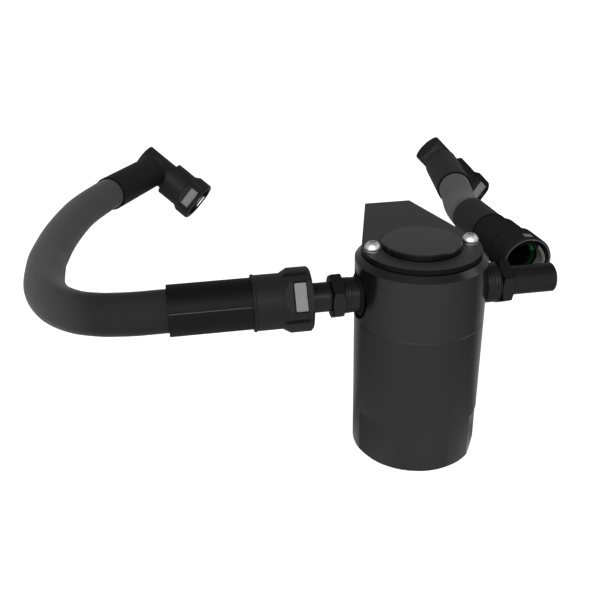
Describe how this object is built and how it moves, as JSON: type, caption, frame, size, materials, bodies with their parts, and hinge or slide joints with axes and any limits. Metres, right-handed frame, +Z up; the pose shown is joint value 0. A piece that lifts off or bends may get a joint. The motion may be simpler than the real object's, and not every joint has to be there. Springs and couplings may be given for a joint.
{
  "type": "oil catch can",
  "caption": "Round oil catch can with a screw-off bowl, a folded mounting bracket, side ports and breather hoses that end in push-fit connectors.",
  "frame": {"origin": "centre of the bracket's mounting holes, on the outer face of its flange", "axes": "+Z up along the can's axis, +Y out of the mounting face, +X towards the outlet port"},
  "size_m": [0.3529, 0.3523, 0.1256],
  "materials": {
    "anodised_head": "satin black anodised",
    "anodised_bowl": "satin black anodised",
    "seal_rubber": "matte",
    "bracket_coat": "satin black powder coat",
    "screw_steel": "bright",
    "washer_steel": "bright",
    "fitting_black": "semi-gloss black anodised",
    "tube_aluminium": "plain",
    "filter_bronze": "matte mesh",
    "baffle_steel": "plain",
    "connector_plastic": "moulded, slightly glossy",
    "clip_plastic": "moulded light grey",
    "sleeve_black": "smooth shrink sleeve",
    "inlet_hose_cover": "matte woven cover",
    "green_seal": "matte",
    "outlet_hose_cover": "matte woven cover"
  },
  "bodies": {
    "can": {"head": "anodised_head", "bracket": "bracket_coat", "bracket_screws": "screw_steel", "bracket_washers": "washer_steel", "inlet_adapter": "fitting_black", "outlet_adapter": "fitting_black", "inlet_port_o_ring": "seal_rubber", "outlet_port_o_ring": "seal_rubber", "inlet_down_tube": "tube_aluminium", "mesh_filter": "filter_bronze", "baffle_plate": "baffle_steel", "baffle_retaining_ring": "baffle_steel", "outlet_connector": "connector_plastic", "outlet_lock_clip": "clip_plastic", "outlet_seal_ring": "green_seal", "outlet_near_sleeve": "sleeve_black", "outlet_hose": "outlet_hose_cover", "outlet_far_sleeve": "sleeve_black", "outlet_elbow": "connector_plastic", "outlet_elbow_lock_clip": "clip_plastic", "outlet_elbow_seal_ring": "seal_rubber"},
    "bowl_seal": {"bowl_o_ring": "seal_rubber"},
    "bowl": {"bowl": "anodised_bowl"},
    "fitted_hose_set": {"inlet_connector": "connector_plastic", "inlet_lock_clip": "clip_plastic", "inlet_seal_ring": "seal_rubber", "inlet_near_sleeve": "sleeve_black", "inlet_hose": "inlet_hose_cover", "inlet_far_sleeve": "sleeve_black", "inlet_elbow": "connector_plastic", "inlet_elbow_lock_clip": "clip_plastic", "inlet_elbow_seal_ring": "seal_rubber"}
  },
  "joints": [
    {"name": "bowl_travel", "type": "slide", "parent": "can", "child": "bowl_seal", "axis": [0, 0, -1], "range_m": [0, 0.012]},
    {"name": "bowl_turn", "type": "hinge", "parent": "bowl_seal", "child": "bowl", "pos_m": [0, -0.073, -0.0124], "axis": [0, 0, -1], "range_deg": [0, 1440]},
    {"name": "hose_swivel", "type": "hinge", "parent": "can", "child": "fitted_hose_set", "pos_m": [-0.0674, -0.073, 0.0023], "axis": [1, 0, 0], "continuous": true}
  ],
  "couplings": [
    {"joint": "bowl_travel", "follows": "bowl_turn", "m_per_rad": 0.000477}
  ]
}
